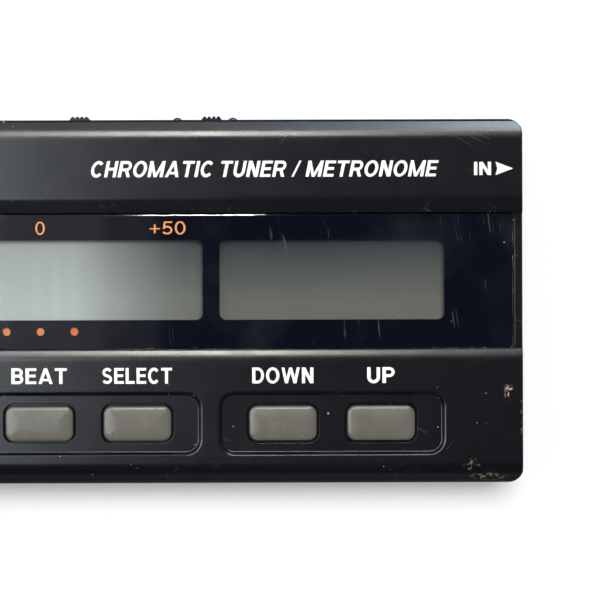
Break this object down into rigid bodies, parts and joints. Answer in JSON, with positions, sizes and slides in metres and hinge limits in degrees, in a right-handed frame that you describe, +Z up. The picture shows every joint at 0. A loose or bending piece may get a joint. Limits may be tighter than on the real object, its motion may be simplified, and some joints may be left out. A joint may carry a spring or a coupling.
{
  "type": "handheld instrument tuner",
  "caption": "Flat rectangular desktop instrument tuner and metronome with a wide display window, push buttons, slide knobs at the rear and plug sockets in its sides.",
  "frame": {"origin": "centre of the bounding box's bottom face, where the rubber feet meet the table", "axes": "+X to the user's right along the length, +Y to the rear edge with the slide knobs, +Z up out of the display"},
  "size_m": [0.115, 0.0588, 0.0193],
  "materials": {
    "case_plastic": "fine satin texture, worn shiny along the edges",
    "key_plastic": "satin warm grey",
    "lens_plastic": "clear gloss over a blue-black printed mask",
    "lcd_glass": "grey-green liquid crystal panel",
    "white_plastic": "plain moulded",
    "amber_plastic": "translucent amber",
    "dark_plastic": "plain moulded",
    "board_green": "solder mask",
    "rubber": "matt",
    "steel": "zinc plated",
    "nickel": "nickel plated",
    "brass": "bare",
    "cell_sleeve": "printed sleeve"
  },
  "bodies": {
    "case": {"battery_cell_front": "cell_sleeve", "battery_cell_rear": "cell_sleeve", "battery_plate_bridge": "steel", "battery_plate_negative": "steel", "battery_plate_positive": "steel", "battery_spring_front": "steel", "battery_spring_rear": "steel", "board_ribbon": "white_plastic", "bottom_case": "case_plastic", "case_screw_front_left": "steel", "case_screw_front_right": "steel", "case_screw_rear_left": "steel", "case_screw_rear_right": "steel", "contact_strip_front": "rubber", "contact_strip_rear": "rubber", "display_lens": "lens_plastic", "jack_in_collar": "nickel", "jack_in_contact": "brass", "jack_in_housing": "dark_plastic", "jack_out_collar": "nickel", "jack_out_contact": "brass", "jack_out_housing": "dark_plastic", "key_board": "board_green", "lcd_frame": "white_plastic", "lcd_panel": "lcd_glass", "light_guide_flat": "amber_plastic", "light_guide_in_tune": "amber_plastic", "light_guide_sharp": "amber_plastic", "main_board": "board_green", "mic_capsule": "nickel", "piezo_sounder": "brass", "power_switch_body": "nickel", "processor_chip": "dark_plastic", "rubber_foot_front_left": "rubber", "rubber_foot_front_right": "rubber", "rubber_foot_rear_left": "rubber", "rubber_foot_rear_right": "rubber", "switch_body_beat": "dark_plastic", "switch_body_down": "dark_plastic", "switch_body_mode": "dark_plastic", "switch_body_setup": "dark_plastic", "switch_body_up": "dark_plastic", "top_case": "case_plastic", "volume_switch_body": "nickel"},
    "battery_door_slider": {"battery_door": "case_plastic"},
    "power_slider": {"power_knob": "case_plastic"},
    "volume_slider": {"volume_knob": "case_plastic"},
    "key_mode": {"button_mode": "key_plastic", "switch_plunger_mode": "white_plastic"},
    "key_beat": {"button_beat": "key_plastic", "switch_plunger_beat": "white_plastic"},
    "key_setup": {"button_setup": "key_plastic", "switch_plunger_setup": "white_plastic"},
    "key_down": {"button_down": "key_plastic", "switch_plunger_down": "white_plastic"},
    "key_up": {"button_up": "key_plastic", "switch_plunger_up": "white_plastic"}
  },
  "joints": [
    {"name": "press_mode", "type": "slide", "parent": "case", "child": "key_mode", "axis": [0, 0, -1], "range_m": [0, 0.0005], "stiffness_N_per_m": 450, "springref_m": -0.0006},
    {"name": "press_beat", "type": "slide", "parent": "case", "child": "key_beat", "axis": [0, 0, -1], "range_m": [0, 0.0005], "stiffness_N_per_m": 450, "springref_m": -0.0006},
    {"name": "press_setup", "type": "slide", "parent": "case", "child": "key_setup", "axis": [0, 0, -1], "range_m": [0, 0.0005], "stiffness_N_per_m": 450, "springref_m": -0.0006},
    {"name": "press_down", "type": "slide", "parent": "case", "child": "key_down", "axis": [0, 0, -1], "range_m": [0, 0.0005], "stiffness_N_per_m": 450, "springref_m": -0.0006},
    {"name": "press_up", "type": "slide", "parent": "case", "child": "key_up", "axis": [0, 0, -1], "range_m": [0, 0.0005], "stiffness_N_per_m": 450, "springref_m": -0.0006},
    {"name": "power_slide", "type": "slide", "parent": "case", "child": "power_slider", "axis": [-1, 0, 0], "range_m": [0, 0.002]},
    {"name": "volume_slide", "type": "slide", "parent": "case", "child": "volume_slider", "axis": [1, 0, 0], "range_m": [-0.002, 0.002]},
    {"name": "battery_door_slide", "type": "slide", "parent": "case", "child": "battery_door_slider", "axis": [0, -1, 0], "range_m": [0, 0.0247]}
  ]
}
